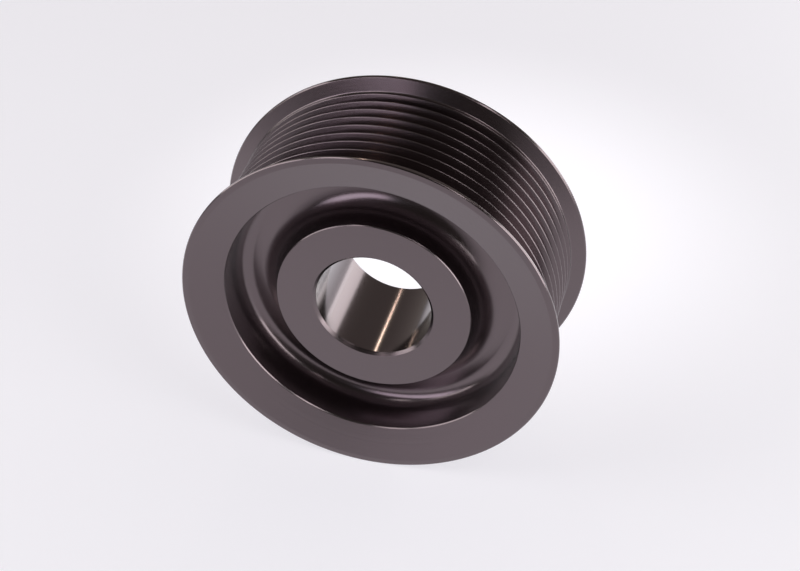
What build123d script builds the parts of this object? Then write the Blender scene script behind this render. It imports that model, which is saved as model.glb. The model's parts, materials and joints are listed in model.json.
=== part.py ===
from build123d import *
from math import cos, radians, sin, tan
import os

# Drive pulley of a supercharger, turned from one piece of aluminium bar.
#
# Millimetres. The shaft axis is Y and the front face looks towards -Y. The origin is on the
# axis, halfway between the two rims, and +Z is up. The pulley stands on its two rims.

# Belt track: V-ribbed belt, standard 3.56 mm rib pitch
CREST_DIAMETER = 89.5        # over the rib crests
GROOVE_COUNT = 8
GROOVE_PITCH = 3.56
GROOVE_ANGLE = 40.0
CREST_RADIUS = 0.2           # rounding of each rib
ROOT_RADIUS = 0.4            # rounding at the bottom of each groove
FRONT_LAND = 5.323           # front flange foot to the first groove centre
REAR_LAND = 2.5              # last groove centre to the rear flange foot

# The two flanges that keep the belt on
FLANGE_HEIGHT = 3.65         # above the rib crests
FLANGE_LAND = 0.85           # width of the flange at the rim
FLANGE_WALL_ANGLE = 20.0     # slope of the wall that faces the belt
FLANGE_FOOT_RADIUS = 0.4

# Front face: a narrow flat ring at the rim, then a shallow dish
FRONT_RING_WIDTH = 1.65
DISH_DEPTH = 3.0

# Bore and hub
BORE_DIAMETER = 30.0
BORE_CHAMFER = 0.75
HUB_WALL = 10.25             # bore to the outside of the hub
HUB_FRONT_DEPTH = 5.4        # hub face below the front rim
HUB_REAR_DEPTH = 3.6         # hub face below the rear rim

# Ring-shaped recess round the hub, the same on both sides
RIM_WALL = 2.95              # bottom of the belt grooves to the recess
RECESS_DEPTH = 9.0           # below the hub face
RECESS_OUTER_CORNER = 4.0
RECESS_HUB_CORNER = 6.0

# Small chamfer on every outer corner
EDGE_BREAK = 0.25

FLANK = GROOVE_ANGLE / 2     # each groove side leans this far from square to the axis
TRACK_RADIUS = CREST_DIAMETER / 2
SHARP_DEPTH = GROOVE_PITCH / 2 / tan(radians(FLANK))
CREST_LOSS = CREST_RADIUS / sin(radians(FLANK)) - CREST_RADIUS
ROOT_CENTRE_RADIUS = TRACK_RADIUS + CREST_LOSS - SHARP_DEPTH + ROOT_RADIUS / sin(radians(FLANK))
GROOVE_BOTTOM_RADIUS = ROOT_CENTRE_RADIUS - ROOT_RADIUS

RIM_RADIUS = TRACK_RADIUS + FLANGE_HEIGHT
FLANGE_FOOT = FLANGE_LAND + FLANGE_HEIGHT * tan(radians(FLANGE_WALL_ANGLE))
TRACK_WIDTH = FRONT_LAND + (GROOVE_COUNT - 1) * GROOVE_PITCH + REAR_LAND
OVERALL_WIDTH = TRACK_WIDTH + 2 * FLANGE_FOOT
FRONT = -OVERALL_WIDTH / 2
REAR = OVERALL_WIDTH / 2

BORE_RADIUS = BORE_DIAMETER / 2
HUB_RADIUS = BORE_RADIUS + HUB_WALL
RECESS_RADIUS = GROOVE_BOTTOM_RADIUS - RIM_WALL
RECESS_WIDTH = RECESS_RADIUS - HUB_RADIUS


def polar(centre, radius, angle):
    """Point on a circle of the section plane, angle in degrees."""
    return (centre[0] + radius * cos(radians(angle)), centre[1] + radius * sin(radians(angle)))


def groove_centres():
    """Axial place of each groove, counted from the front."""
    first = FRONT + FLANGE_FOOT + FRONT_LAND
    return [first + GROOVE_PITCH * k for k in range(GROOVE_COUNT)]


def belt_track_line():
    """Section line over the ribs, from the front flange foot to the rear flange foot."""
    sweep = 180 - 2 * FLANK
    centres = groove_centres()
    crest_height = TRACK_RADIUS - CREST_RADIUS
    first_crest = (centres[0] - GROOVE_PITCH / 2, crest_height)
    here = (FRONT + FLANGE_FOOT, TRACK_RADIUS)
    land = polar(first_crest, CREST_RADIUS, 90)
    edges = [Line(here, land), CenterArc(first_crest, CREST_RADIUS, 90, -sweep / 2)]
    here = polar(first_crest, CREST_RADIUS, FLANK)
    for centre in centres:
        root = (centre, ROOT_CENTRE_RADIUS)
        crest = (centre + GROOVE_PITCH / 2, crest_height)
        turn = sweep / 2 if centre == centres[-1] else sweep
        edges.append(Line(here, polar(root, ROOT_RADIUS, 180 + FLANK)))
        edges.append(CenterArc(root, ROOT_RADIUS, 180 + FLANK, sweep))
        edges.append(Line(polar(root, ROOT_RADIUS, -FLANK), polar(crest, CREST_RADIUS, 180 - FLANK)))
        edges.append(CenterArc(crest, CREST_RADIUS, 180 - FLANK, -turn))
        here = polar(crest, CREST_RADIUS, 180 - FLANK - turn)
    edges.append(Line(here, (REAR - FLANGE_FOOT, TRACK_RADIUS)))
    return edges


def recess_corner(wanted):
    """A recess corner rounding, kept small enough for both corners to fit the recess."""
    room = 0.98 * min(RECESS_WIDTH / (RECESS_OUTER_CORNER + RECESS_HUB_CORNER), RECESS_DEPTH / wanted)
    return wanted * min(1, room)


def body_corners():
    """Corners of the section, from the rear flange foot round the bore to the front flange foot.

    Each corner is (axial place, radius, rounding or chamfer, kind).
    """
    hub_front = FRONT + HUB_FRONT_DEPTH
    hub_rear = REAR - HUB_REAR_DEPTH
    outer_corner = recess_corner(RECESS_OUTER_CORNER)
    hub_corner = recess_corner(RECESS_HUB_CORNER)
    return [
        (REAR - FLANGE_FOOT, TRACK_RADIUS, FLANGE_FOOT_RADIUS, "round"),
        (REAR - FLANGE_LAND, RIM_RADIUS, EDGE_BREAK, "chamfer"),
        (REAR, RIM_RADIUS, EDGE_BREAK, "chamfer"),
        (REAR, RECESS_RADIUS, EDGE_BREAK, "chamfer"),
        (hub_rear - RECESS_DEPTH, RECESS_RADIUS, outer_corner, "round"),
        (hub_rear - RECESS_DEPTH, HUB_RADIUS, hub_corner, "round"),
        (hub_rear, HUB_RADIUS, EDGE_BREAK, "chamfer"),
        (hub_rear, BORE_RADIUS, BORE_CHAMFER, "chamfer"),
        (hub_front, BORE_RADIUS, BORE_CHAMFER, "chamfer"),
        (hub_front, HUB_RADIUS, EDGE_BREAK, "chamfer"),
        (hub_front + RECESS_DEPTH, HUB_RADIUS, hub_corner, "round"),
        (hub_front + RECESS_DEPTH, RECESS_RADIUS, outer_corner, "round"),
        (FRONT + DISH_DEPTH, RECESS_RADIUS, EDGE_BREAK, "chamfer"),
        (FRONT, RIM_RADIUS - FRONT_RING_WIDTH, 0, "sharp"),
        (FRONT, RIM_RADIUS, EDGE_BREAK, "chamfer"),
        (FRONT + FLANGE_LAND, RIM_RADIUS, EDGE_BREAK, "chamfer"),
        (FRONT + FLANGE_FOOT, TRACK_RADIUS, FLANGE_FOOT_RADIUS, "round"),
    ]


def section():
    """Half section of the pulley, axial place along local x and radius along local y."""
    corners = body_corners()
    outline = belt_track_line() + [Polyline(*[corner[:2] for corner in corners])]
    face = make_face(Curve() + outline)
    for place, radius, size, kind in corners:
        if kind == "sharp":
            continue
        corner = face.vertices().sort_by_distance((place, radius))[0]
        if kind == "round":
            face = fillet(corner, size)
        else:
            face = chamfer(corner, size)
    return face


def pulley():
    """The section turned about the shaft axis."""
    return revolve(Plane.YZ * section(), Axis.Y)


os.makedirs("parts", exist_ok=True)
export_step(pulley(), "parts/pulley.step")
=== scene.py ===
from math import ceil, cos, pi, radians, sin, tan
import json

import bpy
from mathutils import Matrix, Vector


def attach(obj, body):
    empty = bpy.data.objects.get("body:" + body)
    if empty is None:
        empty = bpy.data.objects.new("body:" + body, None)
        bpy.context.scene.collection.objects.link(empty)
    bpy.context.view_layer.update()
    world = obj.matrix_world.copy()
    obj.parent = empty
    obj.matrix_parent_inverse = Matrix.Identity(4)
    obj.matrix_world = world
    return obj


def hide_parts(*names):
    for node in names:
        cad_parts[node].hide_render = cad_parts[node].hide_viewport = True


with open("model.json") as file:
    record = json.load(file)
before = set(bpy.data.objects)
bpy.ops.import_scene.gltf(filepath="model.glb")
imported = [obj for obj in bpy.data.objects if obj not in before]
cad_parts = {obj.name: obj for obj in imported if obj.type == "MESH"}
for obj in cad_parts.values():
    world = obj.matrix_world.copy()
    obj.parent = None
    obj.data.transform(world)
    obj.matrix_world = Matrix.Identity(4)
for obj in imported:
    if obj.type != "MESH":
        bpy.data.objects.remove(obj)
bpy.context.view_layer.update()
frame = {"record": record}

# Black anodised drive pulley of a supercharger, turned from one piece of aluminium.

MM = 0.001

# ---------------------------------------------------------------- sizes, in millimetres
record = frame["record"]
mounts = {mount["name"]: mount for mount in record["mounts"]}
_, OVERALL_Y, OVERALL_Z = (side / MM for side in record["size"]["bbox_m"])

RIM_RADIUS = OVERALL_Z / 2
FRONT = -OVERALL_Y / 2
REAR = OVERALL_Y / 2
BORE_RADIUS = mounts["bore"]["dims"]["r_mm"]
HUB_FRONT = mounts["front_hub_face"]["pos_m"][1] / MM
HUB_REAR = mounts["rear_hub_face"]["pos_m"][1] / MM

GROOVE_COUNT = 8
GROOVE_PITCH = 3.56
GROOVE_FLANK = 20.0          # lean of each groove side from square to the axis, in degrees
CREST_RADIUS_AT = 44.75      # height of the rib crests above the axis
CREST_ROUND = 0.2
ROOT_ROUND = 0.4
END_LAND = 2.5               # last groove centre to the foot of the rear flange

FLANGE_LAND = 0.85
FLANGE_SLOPE = 20.0          # degrees
FLANGE_FOOT_ROUND = 0.4
FRONT_RING_WIDTH = 1.65
RING_ROUND = 0.3             # softens the line between the ring and the dish
DISH_DEPTH = 3.0

HUB_RADIUS = 25.25
BORE_CHAMFER = 0.75
RECESS_RADIUS = 38.06
RECESS_DEPTH = 9.0           # below the hub face
RECESS_OUTER_CORNER = 4.0
RECESS_HUB_CORNER = 6.0
EDGE_BREAK = 0.25            # small chamfer on every outer corner

FLANGE_FOOT = FLANGE_LAND + (RIM_RADIUS - CREST_RADIUS_AT) * tan(radians(FLANGE_SLOPE))
LAST_GROOVE = REAR - FLANGE_FOOT - END_LAND
FIRST_GROOVE = LAST_GROOVE - (GROOVE_COUNT - 1) * GROOVE_PITCH

TURNS = 256                  # steps round the axis
ARC_STEP = 15.0              # degrees between points on a small rounding
WIDE_ARC_STEP = 7.5          # degrees between points on a rounding over WIDE_ARC
WIDE_ARC = 1.0               # radius
EDGE_LOOP = 0.06             # distance from each rounding to the loop that keeps the face beside it flat
MERGE_DISTANCE = 0.001       # ends of neighbouring lines this close become one point


# ---------------------------------------------------------------- section lines
def on_circle(centre, radius, angle):
    return (centre[0] + radius * cos(radians(angle)), centre[1] + radius * sin(radians(angle)))


def arc_steps(radius, turn):
    """Number of straight steps that stand for an arc of that turn, in radians."""
    step = WIDE_ARC_STEP if radius > WIDE_ARC else ARC_STEP
    return max(2, ceil(abs(turn) / radians(step)))


def arc(centre, radius, start, end):
    """Points of an arc in the section plane, both ends included, angles in degrees."""
    steps = arc_steps(radius, radians(end - start))
    return [on_circle(centre, radius, start + (end - start) * k / steps) for k in range(steps + 1)]


def moved(start, towards, distance):
    """The point that far from start on the way towards the other point."""
    a, b = Vector(start), Vector(towards)
    return tuple(a + (b - a).normalized() * distance)


def rounded(before, corner, after, radius):
    """Arc that rounds a corner between two straight lines, with a loop on each side of it."""
    a = (Vector(before) - Vector(corner)).normalized()
    b = (Vector(after) - Vector(corner)).normalized()
    half = a.angle(b) / 2
    reach = radius / tan(half)
    centre = Vector(corner) + (a + b).normalized() * (radius / sin(half))
    first = Vector(corner) + a * reach - centre
    turn = first.angle_signed(Vector(corner) + b * reach - centre)
    steps = arc_steps(radius, turn)
    points = [tuple(centre + Matrix.Rotation(-turn * k / steps, 2) @ first) for k in range(steps + 1)]
    return [moved(points[0], before, EDGE_LOOP)] + points + [moved(points[-1], after, EDGE_LOOP)]


def chamfered(before, corner, after, size):
    """Two points that cut a corner off, with a loop on both sides of each."""
    a, b = moved(corner, before, size), moved(corner, after, size)
    cut = [a, moved(a, b, EDGE_LOOP), moved(b, a, EDGE_LOOP), b]
    return [moved(a, before, EDGE_LOOP)] + cut + [moved(b, after, EDGE_LOOP)]


def groove_line():
    """One groove from crest top to crest top, centred on zero, as (axial place, radius)."""
    lean = radians(GROOVE_FLANK)
    sharp_depth = GROOVE_PITCH / 2 / tan(lean)
    crest_loss = CREST_ROUND / sin(lean) - CREST_ROUND
    root_centre = CREST_RADIUS_AT + crest_loss - sharp_depth + ROOT_ROUND / sin(lean)
    crest_centre = CREST_RADIUS_AT - CREST_ROUND
    left = arc((-GROOVE_PITCH / 2, crest_centre), CREST_ROUND, 90, GROOVE_FLANK)
    root = arc((0, root_centre), ROOT_ROUND, 180 + GROOVE_FLANK, 360 - GROOVE_FLANK)
    right = arc((GROOVE_PITCH / 2, crest_centre), CREST_ROUND, 180 - GROOVE_FLANK, 90)
    down = [moved(left[-1], root[0], EDGE_LOOP), moved(root[0], left[-1], EDGE_LOOP)]
    up = [moved(root[-1], right[0], EDGE_LOOP), moved(right[0], root[-1], EDGE_LOOP)]
    return left + down + root + up + right


def body_line():
    """The rest of the section, from the last crest round the bore to the first crest.

    Each corner has a size: a rounding where it is positive, a chamfer where it is negative.
    """
    floor_front, floor_rear = HUB_FRONT + RECESS_DEPTH, HUB_REAR - RECESS_DEPTH
    last_crest = (LAST_GROOVE + GROOVE_PITCH / 2, CREST_RADIUS_AT)
    first_crest = (FIRST_GROOVE - GROOVE_PITCH / 2, CREST_RADIUS_AT)
    corners = [
        (last_crest, 0),
        ((REAR - FLANGE_FOOT, CREST_RADIUS_AT), FLANGE_FOOT_ROUND),
        ((REAR - FLANGE_LAND, RIM_RADIUS), -EDGE_BREAK),
        ((REAR, RIM_RADIUS), -EDGE_BREAK),
        ((REAR, RECESS_RADIUS), -EDGE_BREAK),
        ((floor_rear, RECESS_RADIUS), RECESS_OUTER_CORNER),
        ((floor_rear, HUB_RADIUS), RECESS_HUB_CORNER),
        ((HUB_REAR, HUB_RADIUS), -EDGE_BREAK),
        ((HUB_REAR, BORE_RADIUS), -BORE_CHAMFER),
        ((HUB_FRONT, BORE_RADIUS), -BORE_CHAMFER),
        ((HUB_FRONT, HUB_RADIUS), -EDGE_BREAK),
        ((floor_front, HUB_RADIUS), RECESS_HUB_CORNER),
        ((floor_front, RECESS_RADIUS), RECESS_OUTER_CORNER),
        ((FRONT + DISH_DEPTH, RECESS_RADIUS), -EDGE_BREAK),
        ((FRONT, RIM_RADIUS - FRONT_RING_WIDTH), RING_ROUND),
        ((FRONT, RIM_RADIUS), -EDGE_BREAK),
        ((FRONT + FLANGE_LAND, RIM_RADIUS), -EDGE_BREAK),
        ((FRONT + FLANGE_FOOT, CREST_RADIUS_AT), FLANGE_FOOT_ROUND),
        (first_crest, 0),
    ]
    line = [last_crest]
    for (before, _), (corner, size), (after, _) in zip(corners, corners[1:], corners[2:]):
        cut = rounded if size > 0 else chamfered
        line += cut(before, corner, after, abs(size))
    return line + [first_crest]


def line_mesh(name, points):
    """Edges only: the radius above the bore runs along local X, the axial place along Y, in metres."""
    mesh = bpy.data.meshes.new(name)
    places = [((radius - BORE_RADIUS) * MM, axial * MM, 0) for axial, radius in points]
    mesh.from_pydata(places, [(k, k + 1) for k in range(len(places) - 1)], [])
    piece = bpy.data.objects.new(name, mesh)
    bpy.context.scene.collection.objects.link(piece)
    return piece


# ---------------------------------------------------------------- geometry nodes
def add_node(tree, kind, settings=None, **links):
    """Adds a node. Settings go on the node; links are socket values or (node, socket) pairs.

    A link is named for its socket, with _ for a space, or _0, _1 and so on for a socket's number.
    """
    node = tree.nodes.new(kind)
    for name, value in (settings or {}).items():
        setattr(node, name, value)
    for name, value in links.items():
        socket = node.inputs[int(name[1:])] if name[1:].isdigit() else node.inputs[name.replace("_", " ")]
        if isinstance(value, tuple) and isinstance(value[0], bpy.types.Node):
            tree.links.new(value[0].outputs[value[1]], socket)
        else:
            socket.default_value = value
    return node


TURNING_INPUTS = {
    "Geometry": "Geometry", "Groove Line": "Object", "Groove Count": "Int", "Groove Pitch": "Float",
    "First Groove": "Float", "Bore Radius": "Float", "Turns": "Int",
}


def turning_tree(material):
    """Repeats the groove line along the track, joins it to the body line and sweeps them round."""
    tree = bpy.data.node_groups.new("turn_the_section", "GeometryNodeTree")
    for name, kind in TURNING_INPUTS.items():
        tree.interface.new_socket(name, in_out="INPUT", socket_type="NodeSocket" + kind)
    tree.interface.new_socket("Geometry", in_out="OUTPUT", socket_type="NodeSocketGeometry")

    sizes = tree.nodes.new("NodeGroupInput")
    out = tree.nodes.new("NodeGroupOutput")
    start = add_node(tree, "ShaderNodeCombineXYZ", Y=(sizes, "First Groove"))
    step = add_node(tree, "ShaderNodeCombineXYZ", Y=(sizes, "Groove Pitch"))
    places = add_node(tree, "GeometryNodeMeshLine", Count=(sizes, "Groove Count"),
                      Start_Location=(start, "Vector"), Offset=(step, "Vector"))
    groove = add_node(tree, "GeometryNodeObjectInfo", Object=(sizes, "Groove Line"))
    copies = add_node(tree, "GeometryNodeInstanceOnPoints", Points=(places, "Mesh"),
                      Instance=(groove, "Geometry"))
    lines = add_node(tree, "GeometryNodeRealizeInstances", Geometry=(copies, "Instances"))
    joined = tree.nodes.new("GeometryNodeJoinGeometry")
    tree.links.new(sizes.outputs["Geometry"], joined.inputs["Geometry"])
    tree.links.new(lines.outputs["Geometry"], joined.inputs["Geometry"])
    closed = add_node(tree, "GeometryNodeMergeByDistance", Geometry=(joined, "Geometry"),
                      Distance=MERGE_DISTANCE * MM)
    section = add_node(tree, "GeometryNodeMeshToCurve", Mesh=(closed, "Geometry"))
    path = add_node(tree, "GeometryNodeCurvePrimitiveCircle", Resolution=(sizes, "Turns"),
                    Radius=(sizes, "Bore Radius"))
    swept = add_node(tree, "GeometryNodeCurveToMesh", Curve=(path, "Curve"),
                     Profile_Curve=(section, "Curve"))
    upright = add_node(tree, "GeometryNodeTransform", Geometry=(swept, "Mesh"), Rotation=(pi / 2, 0, 0))
    smooth = add_node(tree, "GeometryNodeSetShadeSmooth", Geometry=(upright, "Geometry"))
    real = add_node(tree, "GeometryNodeRealizeInstances", Geometry=(smooth, "Geometry"))
    painted = add_node(tree, "GeometryNodeSetMaterial", Geometry=(real, "Geometry"), Material=material)
    tree.links.new(painted.outputs["Geometry"], out.inputs["Geometry"])
    return tree


def set_input(modifier, name, value):
    """Sets a modifier input by its socket's identifier."""
    for item in modifier.node_group.interface.items_tree:
        if item.in_out == "INPUT" and item.name == name:
            modifier[item.identifier] = value


def turned_pulley(material):
    """The whole pulley as one closed mesh."""
    body = line_mesh("body_line", body_line())
    groove = line_mesh("groove_line", groove_line())
    turning = body.modifiers.new("turning", "NODES")
    turning.node_group = turning_tree(material)
    set_input(turning, "Groove Line", groove)
    set_input(turning, "Groove Count", GROOVE_COUNT)
    set_input(turning, "Groove Pitch", GROOVE_PITCH * MM)
    set_input(turning, "First Groove", FIRST_GROOVE * MM)
    set_input(turning, "Bore Radius", BORE_RADIUS * MM)
    set_input(turning, "Turns", TURNS)
    bpy.context.view_layer.update()
    made = body.evaluated_get(bpy.context.evaluated_depsgraph_get())
    mesh = bpy.data.meshes.new_from_object(made)
    pulley = bpy.data.objects.new("turned_pulley", mesh)
    bpy.context.scene.collection.objects.link(pulley)
    for line in (body, groove):
        bpy.data.objects.remove(line)
    return pulley


# ---------------------------------------------------------------- materials
FILM_IOR = 1.7               # aluminium oxide
FACE_ROUGHNESS = 0.22
FINE_ROUGHNESS = 0.15        # bore and rim lands
BORE_FINISH_FADE = (0.1, 0.3)   # millimetres outside the bore over which its finer finish ends
RIM_FINISH_FADE = (0.4, 0.2)    # millimetres inside the rim over which its finer finish begins
TURNING_MARK = 0.35          # millimetres between tool marks, drawn coarser than real ones so that they show
MARK_DETAIL = 3.0            # finer marks laid over the main ones
MARK_DETAIL_SHARE = 0.6      # strength of each finer set against the one before
MARK_LEVELS = (0.3, 0.7)     # where the noise of the marks is taken to be lowest and highest
MARK_ROUGHNESS = 0.025
MARK_HEIGHT = 0.0008         # millimetres
ACROSS_THE_MARKS = 0.6       # reflections spread more across the tool marks than along them
QUARTER_TURN = 0.25          # turns that spread from along the marks to across them
FLOOR_ROUGHNESS = 0.6
# Painted glow on the floor, a pool of light brightest behind the pulley: middle, radii where the fading
# starts and ends, all in metres, and the glow inside and outside.
FLOOR_PAINTED_GLOWS = [
    ((-0.02, 0.14), 0.22, 0.45, 0.655, 0.25),
    ((0.0, 0.085), 0.02, 0.12, 0.25, 0.0),
]


def colour(hex_value):
    """sRGB hex to linear RGBA."""
    channels = [int(hex_value[k:k + 2], 16) / 255 for k in (1, 3, 5)]
    linear = [c / 12.92 if c <= 0.04045 else ((c + 0.055) / 1.055) ** 2.4 for c in channels]
    return (*linear, 1.0)


def new_material(name):
    material = bpy.data.materials.new(name)
    material.use_nodes = True
    material.node_tree.nodes.clear()
    return material, material.node_tree


def turned_places(tree):
    """Radius from the shaft axis, and the distance across the tool marks, both in metres."""
    where = tree.nodes.new("ShaderNodeTexCoord")
    split = add_node(tree, "ShaderNodeSeparateXYZ", Vector=(where, "Object"))
    across = add_node(tree, "ShaderNodeCombineXYZ", X=(split, "X"), Z=(split, "Z"))
    radius = add_node(tree, "ShaderNodeVectorMath", {"operation": "LENGTH"}, Vector=(across, "Vector"))
    along = add_node(tree, "ShaderNodeMath", {"operation": "ADD"}, _0=(radius, "Value"), _1=(split, "Y"))
    return (radius, "Value"), (along, "Value")


def anodised_aluminium():
    """Black-dyed hard anodising over fine turning: dark, faintly violet metal under a clear oxide film.

    The bore and the rim lands are finer turned, so they are glossier. The tool has left rings everywhere.
    """
    material, tree = new_material("black_hard_anodised_turned_aluminium")
    radius, along = turned_places(tree)
    marks = add_node(tree, "ShaderNodeTexNoise", {"noise_dimensions": "1D"}, W=along,
                     Scale=1 / (TURNING_MARK * MM), Detail=MARK_DETAIL, Roughness=MARK_DETAIL_SHARE)
    bore = add_node(tree, "ShaderNodeMapRange", Value=radius,
                    From_Min=(BORE_RADIUS + BORE_FINISH_FADE[0]) * MM,
                    From_Max=(BORE_RADIUS + BORE_FINISH_FADE[1]) * MM,
                    To_Min=FINE_ROUGHNESS, To_Max=FACE_ROUGHNESS)
    rim = add_node(tree, "ShaderNodeMapRange", Value=radius,
                   From_Min=(RIM_RADIUS - RIM_FINISH_FADE[0]) * MM,
                   From_Max=(RIM_RADIUS - RIM_FINISH_FADE[1]) * MM,
                   To_Min=0.0, To_Max=FINE_ROUGHNESS - FACE_ROUGHNESS)
    finish = add_node(tree, "ShaderNodeMath", {"operation": "ADD"}, _0=(bore, "Result"),
                      _1=(rim, "Result"))
    wear = add_node(tree, "ShaderNodeMapRange", Value=(marks, "Fac"), From_Min=MARK_LEVELS[0],
                    From_Max=MARK_LEVELS[1], To_Min=-MARK_ROUGHNESS, To_Max=MARK_ROUGHNESS)
    roughness = add_node(tree, "ShaderNodeMath", {"operation": "ADD"}, _0=(finish, "Value"),
                         _1=(wear, "Result"))
    round_axis = add_node(tree, "ShaderNodeTangent", {"direction_type": "RADIAL", "axis": "Y"})
    bump = add_node(tree, "ShaderNodeBump", Height=(marks, "Fac"), Distance=MARK_HEIGHT * MM)
    shader = add_node(tree, "ShaderNodeBsdfPrincipled", Base_Color=colour("#514145"), Metallic=1.0,
                      Roughness=(roughness, "Value"), Normal=(bump, "Normal"),
                      Tangent=(round_axis, "Tangent"), Anisotropic=ACROSS_THE_MARKS,
                      Anisotropic_Rotation=QUARTER_TURN,
                      Coat_Weight=1.0, Coat_IOR=FILM_IOR, Coat_Roughness=(roughness, "Value"),
                      Coat_Normal=(bump, "Normal"))
    out = tree.nodes.new("ShaderNodeOutputMaterial")
    tree.links.new(shader.outputs["BSDF"], out.inputs["Surface"])
    return material


def pale_floor():
    """Matt grey floor sheet with a glow painted into its emission until it looks pale.

    The painted glow pools brightest behind the pulley.
    """
    material, tree = new_material("pale_floor_with_painted_glow")
    where = tree.nodes.new("ShaderNodeTexCoord")
    painted_glow = None
    for middle, inner, outer, near, far in FLOOR_PAINTED_GLOWS:
        away = add_node(tree, "ShaderNodeVectorMath", {"operation": "DISTANCE"}, _0=(where, "Object"),
                        _1=(*middle, -RIM_RADIUS * MM))
        part = add_node(tree, "ShaderNodeMapRange", {"interpolation_type": "SMOOTHSTEP"},
                        Value=(away, "Value"), From_Min=inner, From_Max=outer, To_Min=near, To_Max=far)
        painted_glow = add_node(tree, "ShaderNodeMath", {"operation": "ADD"}, _0=(part, "Result"),
                        _1=(painted_glow, "Value") if painted_glow else 0.0)
    # The emission carries the painted glow: the floor gives off light though it is no lamp.
    shader = add_node(tree, "ShaderNodeBsdfPrincipled", Base_Color=colour("#959497"),
                      Roughness=FLOOR_ROUGHNESS, Emission_Color=colour("#fbf9ff"),
                      Emission_Strength=(painted_glow, "Value"))
    out = tree.nodes.new("ShaderNodeOutputMaterial")
    tree.links.new(shader.outputs["BSDF"], out.inputs["Surface"])
    return material


# ---------------------------------------------------------------- camera, floor and light
ROOM_HORIZON = 0.33
ROOM_OVERHEAD = 0.22
ROOM_FRONT = 0.25            # share of that light left on the camera's side
OVERHEAD_FROM = 0.6          # height on the unit sphere of directions where overhead begins
FRONT_TO_BACK = (-0.8, 0.2)  # places along Y on that sphere between which the room gets lighter

CAMERA_AZIMUTH = 14.8
CAMERA_ELEVATION = 38.8
CAMERA_LENS = 81.4
CAMERA_DISTANCE = 450.1 * MM
OBJECT_RIGHT = -7.50 * MM    # how far the pulley stands off the camera's line of sight
OBJECT_UP = -6.99 * MM
AIM_POINT = (0, (FRONT + DISH_DEPTH) * MM, 0)   # on the axis, level with the edge of the front recess
SENSOR_WIDTH = 36            # millimetres, as the lens is
NEAREST_SEEN = 0.01          # metres
FLOOR_HALF = 3.0             # metres

# Name, place, point it faces, width and height, all in metres, radiance, and colour.
LIGHTS = [
    ("right_strip", (0.30, 0.25, 0.035), (0, 0, 0.035), (0.38, 0.165), 2.8, "#ffffff"),
    ("right_front_softbox", (0.46, -0.19, 0.10), (0, 0, 0.05), (0.36, 0.32), 4.0, "#ffffff"),
    ("right_overhead", (0.40, -0.32, 0.62), (0, 0, 0), (0.28, 0.28), 4.0, "#ffffff"),
    ("left_softbox", (-0.42, -0.13, 0.20), (0, 0, 0.05), (0.32, 0.32), 2.6, "#ffffff"),
    ("left_overhead", (-0.34, -0.34, 0.62), (0, 0, 0), (0.26, 0.26), 3.0, "#ffffff"),
    ("front_window", (-0.62, -1.08, 0.44), (0, 0, 0), (0.95, 0.42), 2.9, "#f6f0ff"),
    ("small_lamp", (-0.30, 0.92, 0.80), (0, 0, 0), (0.04, 0.04), 45, "#ffe9d0"),
]


def add_camera():
    a, e = radians(CAMERA_AZIMUTH), radians(CAMERA_ELEVATION)
    right = Vector((cos(a), sin(a), 0))
    forward = Vector((-sin(a) * cos(e), cos(a) * cos(e), -sin(e)))
    up = right.cross(forward)
    data = bpy.data.cameras.new("camera")
    data.lens = CAMERA_LENS
    data.sensor_width = SENSOR_WIDTH
    data.clip_start = NEAREST_SEEN
    camera = bpy.data.objects.new("camera", data)
    turn = Matrix((right, up, -forward)).transposed().to_4x4()
    place = Vector(AIM_POINT) - forward * CAMERA_DISTANCE - right * OBJECT_RIGHT - up * OBJECT_UP
    camera.matrix_world = Matrix.Translation(place) @ turn
    bpy.context.scene.collection.objects.link(camera)
    bpy.context.scene.camera = camera


def add_floor(material):
    signs = [(-1, -1), (1, -1), (1, 1), (-1, 1)]
    corners = [(x * FLOOR_HALF, y * FLOOR_HALF, -RIM_RADIUS * MM) for x, y in signs]
    mesh = bpy.data.meshes.new("floor")
    mesh.from_pydata(corners, [], [(0, 1, 2, 3)])
    floor = bpy.data.objects.new("floor", mesh)
    floor.data.materials.append(material)
    bpy.context.scene.collection.objects.link(floor)
    return floor


def add_light(name, place, target, size, radiance, tint):
    """Rectangular soft light that reflections and surfaces see and the camera doesn't."""
    data = bpy.data.lights.new(name, "AREA")
    data.shape = "RECTANGLE"
    data.size, data.size_y = size
    data.energy = radiance * pi * size[0] * size[1]
    data.color = colour(tint)[:3]
    light = bpy.data.objects.new(name, data)
    light.location = place
    light.rotation_euler = (Vector(target) - Vector(place)).to_track_quat("-Z", "Y").to_euler()
    light.visible_camera = False
    bpy.context.scene.collection.objects.link(light)


def add_world():
    """A dim, slightly warm room: lighter at the horizon than overhead, darkest on the camera's side."""
    world = bpy.data.worlds.new("studio")
    world.use_nodes = True
    tree = world.node_tree
    tree.nodes.clear()
    where = tree.nodes.new("ShaderNodeTexCoord")
    split = add_node(tree, "ShaderNodeSeparateXYZ", Vector=(where, "Generated"))
    height = add_node(tree, "ShaderNodeMapRange", Value=(split, "Z"), From_Min=0.0, From_Max=OVERHEAD_FROM,
                      To_Min=ROOM_HORIZON, To_Max=ROOM_OVERHEAD)
    depth = add_node(tree, "ShaderNodeMapRange", Value=(split, "Y"), From_Min=FRONT_TO_BACK[0],
                     From_Max=FRONT_TO_BACK[1], To_Min=ROOM_FRONT, To_Max=1.0)
    level = add_node(tree, "ShaderNodeMath", {"operation": "MULTIPLY"}, _0=(height, "Result"),
                     _1=(depth, "Result"))
    back = add_node(tree, "ShaderNodeBackground", Color=colour("#fff3ea"), Strength=(level, "Value"))
    out = tree.nodes.new("ShaderNodeOutputWorld")
    tree.links.new(back.outputs["Background"], out.inputs["Surface"])
    bpy.context.scene.world = world


# ---------------------------------------------------------------- build
pulley = turned_pulley(anodised_aluminium())
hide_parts("pulley")
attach(pulley, "root")

floor = add_floor(pale_floor())
add_camera()
add_world()
for light in LIGHTS:
    add_light(*light)

bpy.context.scene.view_settings.view_transform = "Standard"
